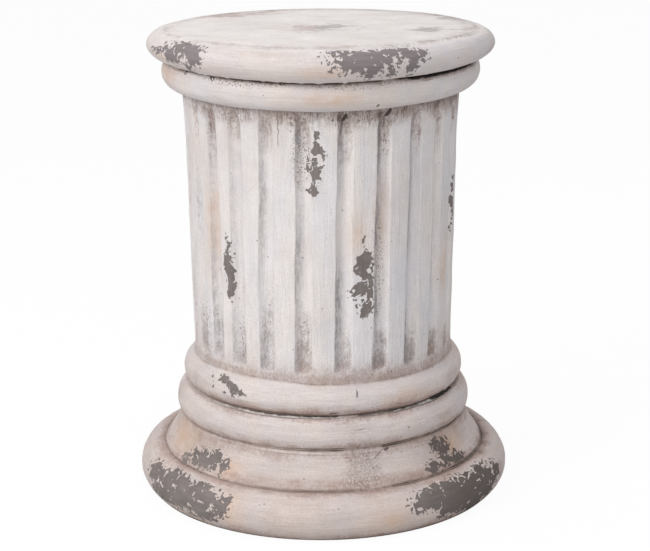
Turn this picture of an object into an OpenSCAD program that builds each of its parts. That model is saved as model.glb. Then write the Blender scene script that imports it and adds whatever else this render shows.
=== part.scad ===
// Short fluted column that serves as a pedestal: one casting, all in millimetres.
// The origin is at the middle of the underside, +Z is up and the front faces -Y.

/* [Overall] */
// Height from the underside to the flat top
column_h = 460; // [400:1:700]

/* [Base ring] */
// Height of the base ring
base_h = 43; // [38:1:60]
// Diameter of the base ring at its widest
base_d = 374; // [350:1:440]
// Diameter of the flat underside
foot_d = 356; // [340:1:374]

/* [Collar] */
// Height of the sloping collar above the base ring
collar_h = 34; // [20:1:60]
// Diameter of the collar where it leaves the base ring
collar_foot_d = 325; // [300:1:340]
// Diameter of the collar under the lower torus
collar_head_d = 290; // [274:1:300]
// How far the collar's side is hollowed below a straight cone
collar_hollow = 2.5; // [1:0.1:4]

/* [Tori] */
// Height of the lower torus
lower_torus_h = 31; // [24:1:45]
// How far the lower torus swells past the line between its joints
lower_torus_proud = 7.7; // [4:0.1:11]
// Diameter at the joint between the two tori
torus_joint_d = 270; // [262:1:284]
// Height of the upper torus
upper_torus_h = 29; // [22:1:45]
// How far the upper torus swells past the line between its joints
upper_torus_proud = 8.4; // [4:0.1:10]

/* [Shaft] */
// Diameter of the shaft where it stands on the upper torus
shaft_foot_d = 259; // [230:1:266]
// Diameter of the shaft where it begins to flare
shaft_head_d = 267; // [245:1:278]
// Height over which the shaft flares out to the astragal
flare_h = 44; // [20:1:80]
// How much the flare adds to the shaft's radius
flare_out = 2.6; // [1:0.1:5]

/* [Flutes] */
// Number of flutes round the shaft
flute_count = 24; // [16:1:26]
// Width of a flute between its lips
flute_w = 17.4; // [10:0.1:21]
// Depth of a flute at its middle
flute_depth = 4.6; // [2.5:0.1:7]
// Plain shaft left between the upper torus and the flutes
flute_foot_gap = 10; // [4:0.5:30]
// Plain shaft left between the flutes and the astragal
flute_head_gap = 3; // [1:0.5:20]
// Angle of the first flute from the front
flute_phase = -4.8; // [-10:0.1:10]
// Slow drift of the flutes from an even spacing, as they were set out by eye
flute_drift = 2.7; // [0:0.1:3]
// Quicker drift of the flutes from an even spacing
flute_wander = 1.7; // [0:0.1:2]

/* [Astragal and slab] */
// Height of the astragal under the slab
astragal_h = 28; // [20:1:40]
// Diameter at the top of the astragal
astragal_head_d = 300; // [292:1:310]
// How far the astragal swells past the line between its joints
astragal_proud = 11.6; // [6:0.1:14]
// Thickness of the slab, which has a half-round edge
slab_h = 32; // [24:1:48]
// Diameter of the slab
slab_d = 338; // [332:1:380]

/* [Joints] */
// Width of the grooves cut round the joints between mouldings
groove_w = 3; // [1.5:0.1:4]
// Depth of the grooves
groove_depth = 2.4; // [1:0.1:4]

/* [Hidden] */
$fn = 96;

// Heights at which one moulding ends and the next begins
collar_z = base_h;
lower_torus_z = collar_z + collar_h;
upper_torus_z = lower_torus_z + lower_torus_h;
shaft_z = upper_torus_z + upper_torus_h;
slab_z = column_h - slab_h;
astragal_z = slab_z - astragal_h;
flare_z = astragal_z - flare_h;

// Radii at the joints
collar_foot_r = collar_foot_d / 2;
collar_head_r = collar_head_d / 2;
torus_joint_r = torus_joint_d / 2;
shaft_foot_r = shaft_foot_d / 2;
shaft_head_r = shaft_head_d / 2;
neck_r = shaft_head_r + flare_out;
astragal_head_r = astragal_head_d / 2;

// Base ring: a circle through the foot's edge and the widest point, level with the ring's top
ring_overhang = (base_d - foot_d) / 2;
ring_r = base_h + ring_overhang - sqrt(2 * base_h * ring_overhang);
ring_z = base_h - ring_r;

// A flute is cut by a round-ended bar laid along the shaft
flute_r = (flute_w * flute_w / 4 + flute_depth * flute_depth) / (2 * flute_depth);
flute_end = flute_w / 2;
flute_z0 = shaft_z + flute_foot_gap + flute_end;
flute_z1 = astragal_z - flute_head_gap - flute_end;
shaft_slope = atan((shaft_head_r - shaft_foot_r) / (flare_z - shaft_z));

// Where round the shaft the slow and the quick drift are greatest
drift_turn = 176;
wander_turn = 76;

// Angle of flute i, with the drift added to an even spacing
function even_angle(i) = flute_phase + i * 360 / flute_count;
function flute_angle(i) = even_angle(i)
    + flute_drift * cos(2 * even_angle(i) - drift_turn)
    + flute_wander * cos(3 * even_angle(i) - wander_turn);

// Radius of the shaft below its flare
function shaft_r(z) = shaft_foot_r + (z - shaft_z) * tan(shaft_slope);

// Radius of the circle through two points a chord apart that swells past the chord by proud
function swell_r(chord, proud) = (chord * chord / 4 + proud * proud) / (2 * proud);

// Half section of a plain band between two joints
module band(r0, z0, r1, z1) {
    polygon([[0, z0], [r0, z0], [r1, z1], [0, z1]]);
}

// Disc whose edge passes through both joints and swells past the line between them;
// a negative proud puts the disc outside the line, to hollow it
module swell(r0, z0, r1, z1, proud) {
    chord = norm([r1 - r0, z1 - z0]);
    radius = swell_r(chord, abs(proud));
    back = (radius - abs(proud)) * sign(proud);
    lean = [-(z1 - z0), r1 - r0] / chord;
    translate([r0 + r1, z0 + z1] / 2 + back * lean) circle(radius);
}

// Half section of a moulding that swells between two joints
module cushion(r0, z0, r1, z1, proud) {
    band(r0, z0, r1, z1);
    intersection() {
        swell(r0, z0, r1, z1, proud);
        translate([0, z0]) square([base_d, z1 - z0]);
    }
}

// Half section of the base ring, cut flat where it stands
module base_section() {
    intersection() {
        union() {
            translate([base_d / 2 - ring_r, ring_z]) circle(ring_r);
            square([base_d / 2 - ring_r, base_h]);
        }
        square([base_d, base_h]);
    }
}

// Half section of the collar, slightly hollow
module collar_section() {
    difference() {
        band(collar_foot_r, collar_z, collar_head_r, lower_torus_z);
        swell(collar_foot_r, collar_z, collar_head_r, lower_torus_z, -collar_hollow);
    }
}

// Half section of the shaft with its flare
module shaft_section() {
    band(shaft_foot_r, shaft_z, shaft_head_r, flare_z);
    band(shaft_head_r, flare_z, neck_r, astragal_z);
}

// Half section of the slab with its half-round edge
module slab_section() {
    translate([0, slab_z]) square([slab_d / 2 - slab_h / 2, slab_h]);
    translate([slab_d / 2 - slab_h / 2, slab_z + slab_h / 2]) circle(slab_h / 2);
}

// The turned body, before flutes and grooves
module body() {
    rotate_extrude() {
        base_section();
        collar_section();
        cushion(collar_head_r, lower_torus_z, torus_joint_r, upper_torus_z, lower_torus_proud);
        cushion(torus_joint_r, upper_torus_z, shaft_foot_r, shaft_z, upper_torus_proud);
        shaft_section();
        cushion(neck_r, astragal_z, astragal_head_r, slab_z, astragal_proud);
        slab_section();
    }
}

// Bar with round ends that cuts one flute at the front of the shaft
module flute_cutter() {
    length = flute_z1 - flute_z0;
    translate([0, -shaft_r(flute_z0) - flute_r + flute_depth, flute_z0])
        rotate([shaft_slope, 0, 0]) {
            cylinder(h = length, r = flute_r);
            sphere(flute_r);
            translate([0, 0, length]) sphere(flute_r);
        }
}

// V groove run round the joint at radius r and height z
module joint_groove(r, z) {
    mouth_r = r + groove_depth;
    rotate_extrude()
        polygon([[r - groove_depth, z], [mouth_r, z - groove_w], [mouth_r, z + groove_w]]);
}

// The whole casting
module column() {
    color([0.86, 0.83, 0.80])
        difference() {
            body();
            for (i = [0 : flute_count - 1])
                rotate([0, 0, flute_angle(i)]) flute_cutter();
            joint_groove(collar_foot_r, collar_z);
            joint_groove(collar_head_r, lower_torus_z);
            joint_groove(torus_joint_r, upper_torus_z);
            joint_groove(astragal_head_r, slab_z);
        }
}

column();
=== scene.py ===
# %% [markdown]
# ## What is being made
# A short column pedestal, cast in one piece in a cement-like mix and then painted by hand. The paint is
# an off-white, rubbed back and smeared with brown and grey, and it has flaked away in patches to a
# dark grey undercoat. The plain solid is already the right size, so this script measures it and models
# a richer skin that takes its place: the same outline, with hand-worked flutes, filled grooves, crumbs
# and a rough mend.

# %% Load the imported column
import math
import random

import bmesh
import bpy
import numpy as np
from mathutils import Matrix, Vector, noise


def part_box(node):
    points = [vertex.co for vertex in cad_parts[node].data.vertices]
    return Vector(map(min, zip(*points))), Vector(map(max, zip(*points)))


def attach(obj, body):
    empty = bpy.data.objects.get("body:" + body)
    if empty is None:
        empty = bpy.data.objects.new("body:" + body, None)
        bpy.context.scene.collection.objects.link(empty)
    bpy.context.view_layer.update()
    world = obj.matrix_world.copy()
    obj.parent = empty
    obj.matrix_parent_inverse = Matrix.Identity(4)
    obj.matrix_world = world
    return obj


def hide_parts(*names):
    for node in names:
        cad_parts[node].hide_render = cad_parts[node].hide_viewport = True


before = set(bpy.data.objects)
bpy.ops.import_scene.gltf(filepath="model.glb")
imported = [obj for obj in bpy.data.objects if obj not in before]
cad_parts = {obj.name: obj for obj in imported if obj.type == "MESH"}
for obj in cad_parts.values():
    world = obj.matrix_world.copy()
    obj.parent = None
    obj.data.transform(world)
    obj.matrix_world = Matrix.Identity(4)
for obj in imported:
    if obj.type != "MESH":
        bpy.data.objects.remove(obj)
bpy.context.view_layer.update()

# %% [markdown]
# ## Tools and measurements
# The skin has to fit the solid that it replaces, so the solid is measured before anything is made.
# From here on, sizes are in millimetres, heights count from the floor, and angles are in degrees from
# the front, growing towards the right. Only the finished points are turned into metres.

low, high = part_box("column")
MM = 0.001
COLUMN_H = (high.z - low.z) / MM
BASE_R = (high.x - low.x) / 2 / MM
print("column is", round(COLUMN_H, 1), "mm tall and", round(2 * BASE_R, 1), "mm across its base")

# %% [markdown]
# ## The half section
# A mould for such a column is turned on a lathe, so its section is a chain of simple curves: a big
# half-round ring, a hollow collar, two tori, the shaft, an astragal and a slab with a rounded edge.
# Each curve is written once, as a short arc between two joints, in millimetres from the axis and
# from the floor. A list of traced points would do the same job, but nobody could resize it.

# %% Sizes of the mouldings, in millimetres
RING_TOP_Z = 43
COLLAR_TOP_Z = RING_TOP_Z + 34
TORUS_JOINT_Z = COLLAR_TOP_Z + 31
SHAFT_FOOT_Z = TORUS_JOINT_Z + 29
SLAB_Z = COLUMN_H - 32
NECK_Z = SLAB_Z - 28

FOOT = Vector((177.5, 0))
RING_TOP = Vector((162.5, RING_TOP_Z))
COLLAR_TOP = Vector((145, COLLAR_TOP_Z))
TORUS_JOINT = Vector((135, TORUS_JOINT_Z))
SHAFT_FOOT = Vector((129.5, SHAFT_FOOT_Z))
FLARE_FOOT = Vector((133.4, NECK_Z - 46))
NECK = Vector((136.2, NECK_Z))
ASTRAGAL_TOP = Vector((150, SLAB_Z))
TOP_EDGE = Vector((150.5, COLUMN_H))
SLAB_R = 168.9


def arc(start, end, proud, steps):
    """Points after start, up to but not including end, on an arc that swells past the line by proud."""
    chord = end - start
    out = Vector((chord.y, -chord.x)).normalized()
    radius = (chord.length ** 2 / 4 + proud ** 2) / (2 * abs(proud))
    half = math.asin(min(1, chord.length / 2 / radius))
    points = []
    for i in range(1, steps):
        turn = half * (2 * i / steps - 1)
        along = radius * math.sin(turn) / chord.length + 0.5
        rise = radius * (math.cos(turn) - math.cos(half)) * math.copysign(1, proud)
        points.append(start + chord * along + out * rise)
    return points


def straight(start, end, steps):
    """Points after start, up to but not including end, on a straight line."""
    return [start.lerp(end, i / steps) for i in range(1, steps)]


print("slab is", 2 * SLAB_R, "mm across, and the neck is", round(NECK_Z), "mm from the floor")

# %% [markdown]
# ## Grooves between the mouldings
# Where two mouldings meet, the maker ran a tool round the joint. Each groove is a small notch of five
# points in the section. The section is kept twice, once with its grooves and once with them filled,
# so that a groove can later be faded out where filler covers it.

# %% Build the rows of the section
rows = []


def add(points, kind):
    """Adds plain points of the section, which are the same with the groove filled."""
    for p in points:
        rows.append((p, p, kind, 0))


def add_groove(joint, inward, depth, width, kind, bead):
    """Adds a notch at a joint: lip, cut, bead of paint between the cuts, cut, lip."""
    inward = inward.normalized()
    across = Vector((-inward.y, inward.x))
    if across.y < 0:
        across = -across
    # place across the groove, share of its depth, and how dark it is there
    bottom = (0, 0.35, 0.1) if bead else (0, 1, 0.9)
    notch = ((-0.5, 0.05, 0.25), (-0.27, 0.85, 1), bottom, (0.27, 0.85, 1), (0.5, 0.05, 0.25))
    for side, sink, shade in notch:
        cut = joint + across * side * width + inward * sink * depth
        rows.append((cut, joint + across * side * width * 0.6, kind, shade))


def slab_edge(steps):
    """The slab's rounded edge, a squashed half circle from the astragal to the flat top."""
    middle = (SLAB_Z + COLUMN_H) / 2
    half = (COLUMN_H - SLAB_Z) / 2
    reach = SLAB_R - TOP_EDGE.x
    angles = [math.pi * (i / steps - 0.5) for i in range(2, steps)]
    points = []
    for a in angles:
        sag = 1.4 * max(0, math.sin(a)) ** 6
        points.append(Vector((TOP_EDGE.x + reach * math.cos(a) ** 0.9, middle + half * math.sin(a) - sag)))
    return points


SLAB_EDGE_STEPS = 23
print("the slab's rounded edge is", len(slab_edge(SLAB_EDGE_STEPS)), "points")

# %% [markdown]
# ## From the floor to the top
# The chain starts in the middle of the underside, climbs the outline and ends in the middle of the
# top. Four of the joints get a groove. The shaft is nearly straight, with a slight flare under its
# neck, and its rows are closer together at its foot and its head, where the flutes end.

# %% Chain the rows from the floor to the top
TOP_STEPS = 12
SHAFT_STEPS = 20
FOOT_SHARE = 0.11  # the share of the shaft's height in which the flutes' feet round out
foot_end = SHAFT_FOOT.lerp(FLARE_FOOT, FOOT_SHARE)

add([Vector((0, 0)), Vector((120, 0)), FOOT], "under")
add(arc(FOOT, RING_TOP, 17.0, 19), "ring")
add_groove(RING_TOP, Vector((-0.6, -1)), 1.8, 3.2, "ring groove", True)
add(arc(RING_TOP, COLLAR_TOP, -2.5, 12), "collar")
add_groove(COLLAR_TOP, Vector((-1, 0.1)), 2.4, 3.2, "collar groove", True)
add(arc(COLLAR_TOP, TORUS_JOINT, 7.7, 14), "lower torus")
add_groove(TORUS_JOINT, Vector((-1, 0)), 3.2, 3.8, "torus groove", True)
add(arc(TORUS_JOINT, SHAFT_FOOT, 8.4, 14), "upper torus")
add([SHAFT_FOOT], "shaft")
add(straight(SHAFT_FOOT, foot_end, SHAFT_STEPS), "shaft")
add(straight(foot_end, FLARE_FOOT, SHAFT_STEPS), "shaft")
add(arc(FLARE_FOOT, NECK, -0.4, SHAFT_STEPS), "shaft")
add([NECK], "neck")
add(arc(NECK, ASTRAGAL_TOP, 11.6, 18), "astragal")
add_groove(ASTRAGAL_TOP, Vector((-1, 0.15)), 5, 2.8, "slab groove", False)
add(slab_edge(SLAB_EDGE_STEPS), "slab")
add([TOP_EDGE], "top")
add([Vector((TOP_EDGE.x * (1 - (i / TOP_STEPS) ** 0.8), COLUMN_H)) for i in range(1, TOP_STEPS)], "top")
add([Vector((0, COLUMN_H))], "top")
kinds = [kind for _, _, kind, _ in rows]
print("section has", len(rows), "rows")

# %% [markdown]
# ## Turning the section
# The chain of points is spun right round the axis, as a potter would turn it. Each flute gets the same
# whole number of mesh columns, so that later every flute can have its own columns at its lips.

# %% Spin the skin
FLUTES = 24
COLUMNS_PER_FLUTE = 22

skin = bmesh.new()
row_of = skin.verts.layers.int.new("row")
chain = []
for i, (_, filled, _, _) in enumerate(rows):
    v = skin.verts.new((0, -filled.x, filled.y))
    v[row_of] = i
    chain.append(v)
edges = [skin.edges.new(pair) for pair in zip(chain, chain[1:])]
bmesh.ops.spin(skin, geom=chain + edges, cent=(0, 0, 0), axis=(0, 0, 1), dvec=(0, 0, 0),
               angle=math.tau, steps=FLUTES * COLUMNS_PER_FLUTE, use_merge=True, use_duplicate=False)
poles = [v for v in skin.verts if v.co.x ** 2 + v.co.y ** 2 < 1e-6]
bmesh.ops.remove_doubles(skin, verts=poles, dist=1e-4)
bmesh.ops.recalc_face_normals(skin, faces=skin.faces)
print("skin has", len(skin.verts), "points and", sum(len(f.verts) - 2 for f in skin.faces), "triangles")

mesh = bpy.data.meshes.new("painted_column")
row = np.array([v[row_of] for v in skin.verts])
spun = np.array([v.co for v in skin.verts])
for face in skin.faces:
    face.smooth = True

# %% [markdown]
# ## Setting out the flutes
# The flutes were set out by eye, so their spacing drifts slowly round the shaft. Each lip also wavers
# a little as it climbs, and the flutes narrow towards the top. The drift is two gentle waves in the
# angle, and the waver is smooth noise with its own place for every lip.

# %% Places of the flute lips
PITCH = 360 / FLUTES
FLUTE_PHASE = -4.8
FLUTE_FOOT_Z = SHAFT_FOOT_Z + 10
FLUTE_HEAD_Z = NECK_Z - 3
FLUTE_HALF = 8.7
FLUTE_DEPTH = 4.6
SHAFT_R = 131
DRIFT = ((2.7, 2, 176), (1.7, 3, 76))  # size in degrees, waves to a turn, and where they start


def ease(x, x0, x1):
    """0 below x0, 1 above x1 and a smooth step between them."""
    t = np.clip((x - x0) / (x1 - x0), 0, 1)
    return t * t * (3 - 2 * t)


def centre_angle(k):
    """Angle of the middle of flute k, in degrees from the front."""
    even = FLUTE_PHASE + PITCH * k
    centre = even
    for size, waves, start in DRIFT:
        centre = centre + size * np.cos(np.radians(waves * even - start))
    return centre


def waver(k, side, z):
    """How far a lip strays from straight at height z, in millimetres."""
    own = [(0.37 * n + 0.19 * side, 5.1 * n + 2.3 * side) for n in np.mod(k, FLUTES)]
    slow = [noise.noise(Vector((a, b, h / 70))) for (a, b), h in zip(own, z)]
    quick = [noise.noise(Vector((b, a, h / 19))) for (a, b), h in zip(own, z)]
    return 1.5 * np.array(slow) + 0.5 * np.array(quick)


def lip_angle(k, side, z):
    """Angle of the left (-1) or right (+1) lip of flute k at height z, in degrees."""
    climb = np.clip((z - FLUTE_FOOT_Z) / (FLUTE_HEAD_Z - FLUTE_FOOT_Z), 0, 1)
    half = FLUTE_HALF * (1.02 - 0.16 * climb)
    away = side * half + waver(k, side, np.clip(z, FLUTE_FOOT_Z, FLUTE_HEAD_Z))
    return centre_angle(k) + 1.2 * (climb - 0.4) + np.degrees(away / SHAFT_R)


section_cut = np.array([cut[:] for cut, _, _, _ in rows])
section_full = np.array([filled[:] for _, filled, _, _ in rows])
full = section_full[row]
height = full[:, 1]
turn = np.degrees(np.arctan2(spun[:, 0], -spun[:, 1]))
print("flutes run from", round(FLUTE_FOOT_Z), "to", round(FLUTE_HEAD_Z), "mm, one every", PITCH, "degrees")

# %% [markdown]
# ## Moving the columns to the lips
# A flute is only as crisp as the mesh along its lips. Every point slides round the axis until the
# columns bunch up at the two lips of the nearest flute and spread over the plain fillets between.

# %% Slide the columns
LIP_COLUMNS = 15
LIP_SHARE = LIP_COLUMNS / COLUMNS_PER_FLUTE / 2
pitch_place = (turn - FLUTE_PHASE) / PITCH
nearest = np.floor(pitch_place + 0.5)
share = pitch_place - nearest
side = np.where(share < 0, -1.0, 1.0)
own_lip = np.where(side > 0, lip_angle(nearest, 1, height), lip_angle(nearest, -1, height))
left_lip = lip_angle(nearest, -1, height)
right_lip = lip_angle(nearest, 1, height)
flute_middle = (left_lip + right_lip) / 2
next_lip = np.where(side > 0, lip_angle(nearest + 1, -1, height), lip_angle(nearest - 1, 1, height))
inside = np.abs(share) / LIP_SHARE
outside = (np.abs(share) - LIP_SHARE) / (0.5 - LIP_SHARE)
fillet_middle = (own_lip + next_lip) / 2
in_trough = flute_middle + (own_lip - flute_middle) * np.sin(np.clip(inside, 0, 1) * math.pi / 2)
on_fillet = own_lip + (fillet_middle - own_lip) * np.clip(outside, 0, 1) ** 1.8
angle = np.where(inside <= 1, in_trough, on_fillet)
reach = np.abs(angle - flute_middle) / np.abs(own_lip - flute_middle)
print("widest flute is", round(float(np.max(np.radians(right_lip - left_lip)) * SHAFT_R), 1), "mm")

# %% [markdown]
# ## Cutting the flutes
# A flute is a shallow round trough. Its foot is squarish, as a chisel leaves it, and its head is
# rounder. One number says how far a point is from the middle of its flute: 0 along the middle, 1 at
# the lip, and the trough sinks as that number falls.

# %% Depth of the flutes
FOOT_END = 7.0
HEAD_END = 15.0


def trough(reach, z):
    """Share of the full depth at a point, from its place across and along the flute."""
    foot = np.clip((FLUTE_FOOT_Z + FOOT_END - z) / FOOT_END, 0, None)
    head = np.clip((z - FLUTE_HEAD_Z + HEAD_END) / HEAD_END, 0, None)
    square = (reach ** 3.2 + foot ** 3.2) ** (1 / 3.2)
    round_ = (reach ** 2 + head ** 2) ** 0.5
    edge = np.clip(np.where(z < (FLUTE_FOOT_Z + FLUTE_HEAD_Z) / 2, square, round_), 0, 1)
    return 1 - edge ** 2.2


on_shaft = np.isin(np.array(kinds)[row], ["shaft", "neck"])
sunk = np.where(on_shaft, trough(reach, height), 0)
print("flutes sink", round(float(sunk.max()) * FLUTE_DEPTH, 1), "mm at the deepest")

# %% [markdown]
# ## Marks of the hand
# No moulding here is quite true. Broad lumps come from the mould, smaller ones from the trowel and
# the brush. All are smooth noise, read at each point's own place, so they run on across every joint.

# %% Noise helpers and the lumps
def wavy(points, size, seed):
    """Smooth noise from about -0.7 to 0.7 whose lumps are about size millimetres across."""
    shift = Vector((7.3, 3.1, 5.7)) * seed
    return np.array([noise.noise(Vector(p) / size + shift) for p in points])


radians = np.radians(angle)
around = np.column_stack([np.sin(radians), -np.cos(radians)])
places = np.column_stack([around * full[:, :1], height])

tangent = np.gradient(section_full, axis=0)
normal = np.column_stack([tangent[:, 1], -tangent[:, 0]])
normal /= np.linalg.norm(normal, axis=1, keepdims=True) + 1e-9
top_rows = np.array([kind == "top" for kind in kinds])
normal[top_rows] = (0, 1)
normal[np.array([kind == "under" for kind in kinds])] = (0, -1)
outward = normal[row]

lumps = (0.55 * wavy(places, 95, 1) + 0.34 * wavy(places, 34, 2) + 0.2 * wavy(places * (1, 1, 2), 13, 3)
         + 0.1 * wavy(places, 5, 4))
print("lumps run from", round(float(lumps.min()), 1), "to", round(float(lumps.max()), 1), "mm")

# %% [markdown]
# ## The mend at the front
# To the right of the front a strip of filler was smeared over the seam of the mould. It fills the
# grooves there and leaves a rough, pale, speckled patch. A second, fainter seam runs down the back,
# because such a mould comes apart in two halves. Each groove also has a stretch that paint has
# choked. The fill is a number for each point, so the section can later slide from cut to filled.

# %% Where the grooves are filled
def bump(x, centre, half):
    """1 at the centre, falling smoothly to 0 at half to either side."""
    return 1 - ease(np.abs(x - centre), half * 0.35, half)


def wrap(degrees):
    """An angle brought into -180 to 180."""
    return (degrees + 180) % 360 - 180


FILLED = {
    # groove: middle and half width of the front mend, and middle of the choked stretch, in degrees
    "ring groove": (18, 6.5, -60),
    "collar groove": (15.5, 7.5, -44),
    "torus groove": (10, 3.5, -85),
    "slab groove": (25, 3.5, -120),
}


def filler(kind, a, ragged):
    """How far a groove is filled at angle a: 0 is open and 1 is level."""
    centre, half, choked = FILLED[kind]
    front = 1 - ease(np.abs(wrap(a - centre)) + ragged, half - 1, half + 1)
    back = 0.7 * bump(wrap(a - 190) + ragged, 0, 4)
    painted = 0.85 * bump(wrap(a - choked) + 3 * ragged, 0, 50)
    return np.maximum(np.maximum(front, back), painted)


ragged = 2.2 * wavy(places, 9, 5)
fill = np.zeros(len(row))
groove = np.zeros(len(row))
row_kind = np.array(kinds)[row]
for kind in FILLED:
    here = row_kind == kind
    shallow = np.clip(0.1 + 0.45 * wavy(places[here], 60, 6) + 0.4 * wavy(places[here], 7, 8), 0, 0.6)
    fill[here] = np.maximum(filler(kind, angle[here], ragged[here]), shallow)
    groove[here] = 1 - fill[here]
groove *= np.array([shade for _, _, _, shade in rows])[row]
# the ring and collar grooves are darker to the right of the front, away from the key lamp: painted shade
# over their dark fill
groove *= np.where(row_kind == "ring groove", 0.62 + 0.38 * ease(angle, 14, 24), 1)
groove *= np.where(row_kind == "collar groove", 0.78 + 0.22 * ease(angle, 14, 24), 1)

mend = bump(wrap(angle - 14) + ragged * 1.4, 0, 9) * ease(height, 38, 50)
mend *= 1 - 0.65 * ease(height, 76, 88)
mend *= 1 - ease(height, 98, 112)
print("grooves are on average", round(float(groove[groove > 0].mean()), 2), "of their full depth")

# %% [markdown]
# ## Crumbs in the grooves
# Bits of filler dried in the grooves as small round lumps. A few are listed one by one in front, and the
# rest fall where seeded dice put them. They could be little balls, but they grew out of the same wet
# surface, so they are heaps in the skin itself.

# %% Heap up the crumbs
def arc_gap(centre):
    """Distance of every point round the column from an angle, in millimetres."""
    return np.radians(wrap(angle - centre)) * full[:, 0]


CRUMBY_JOINTS = ((SLAB_Z, 1.2), (SLAB_Z - 2, 1.5), (TORUS_JOINT_Z, 1.2), (COLLAR_TOP_Z, 1.2))
crumb_list = [
    # angle in degrees, height and half width in millimetres
    (-58, SLAB_Z, 2.2), (-42, SLAB_Z, 2.4), (-14, SLAB_Z - 1, 2.2), (8, SLAB_Z, 2), (21, SLAB_Z, 2.2),
    (8, TORUS_JOINT_Z, 2), (26, TORUS_JOINT_Z, 2.6), (-9, TORUS_JOINT_Z, 2), (24, COLLAR_TOP_Z, 2.6),
]
dice = random.Random(11)
for n in range(110):
    joint_z, spread = dice.choice(CRUMBY_JOINTS)
    a = dice.uniform(-180, 180)
    z = joint_z + dice.uniform(-spread, spread)
    crumb_list.append((a, z, dice.uniform(1, 1.8)))
crumbs = np.zeros(len(row))
for a, z, size in crumb_list:
    gap2 = (arc_gap(a) ** 2 + (height - z) ** 2) / size ** 2
    crumbs += np.where(np.abs(height - z) < 8, dice.uniform(0.6, 1.3) * np.exp(-gap2), 0)
print(len(crumb_list), "crumbs stand up to", round(float(crumbs.max()), 1), "mm")

# %% [markdown]
# ## Putting the points in their places
# Every row starts from its section point, with or without its groove, and is pushed out or in along
# the section's own normal. The flat top and the underside stay flat, because things rest on them. The
# astragal sits a little higher at the sides than at the front, and the shaft's foot rises at the left.

# %% Move every point
HEAD_RISE = 3.8
JOINT_RISE = 1.2
FOOT_RISE = 2.8
calm = np.where(np.isin(row_kind, ["top", "under"]), 0.15, 1.0)
flat = np.isin(row_kind, ["under"]) | (np.array([r[1].y for r in rows])[row] < 1e-6)
push = calm * lumps + crumbs - FLUTE_DEPTH * sunk + 0.5 * mend * wavy(places, 3.2, 7)
push += -0.35 - 0.1 * np.abs(lumps)
push[flat] = 0
section = section_cut[row] * (1 - fill[:, None]) + section_full[row] * fill[:, None]
placed = section + outward * push[:, None]
below_top = 1 - ease(height, SLAB_Z + 1, COLUMN_H - 6)
rise = HEAD_RISE * np.sin(radians) ** 2 * ease(height, 372, NECK_Z) * below_top
rise += JOINT_RISE * np.abs(np.sin(radians)) * ease(height, 416, 426) * below_top
rise += FOOT_RISE * bump(wrap(angle + 34), 0, 34) * bump(height, SHAFT_FOOT_Z, 12)
placed[:, 1] = np.clip(placed[:, 1] + rise, 0, COLUMN_H)
placed[:, 0] = np.minimum(placed[:, 0], BASE_R - 0.05)
at_pole = full[:, 0] < 1e-6
placed[at_pole, 0] = 0
points = np.column_stack([around * placed[:, :1], placed[:, 1]]) * MM

for v, point in zip(skin.verts, points):
    v.co = point
skin.normal_update()
skin.to_mesh(mesh)
skin.free()
column = bpy.data.objects.new("painted_column", mesh)
bpy.context.scene.collection.objects.link(column)
print("skin reaches", np.round(np.abs(points).max(axis=0) / MM, 1), "mm")

# %% [markdown]
# ## Where the paint has flaked
# The flakes are where knocks would fall: the slab's edge, the base ring and a few places up the shaft.
# Each is a handful of overlapping ovals. The mesh stores only how far each point is inside the nearest
# oval, and the material roughens that edge later.

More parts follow.
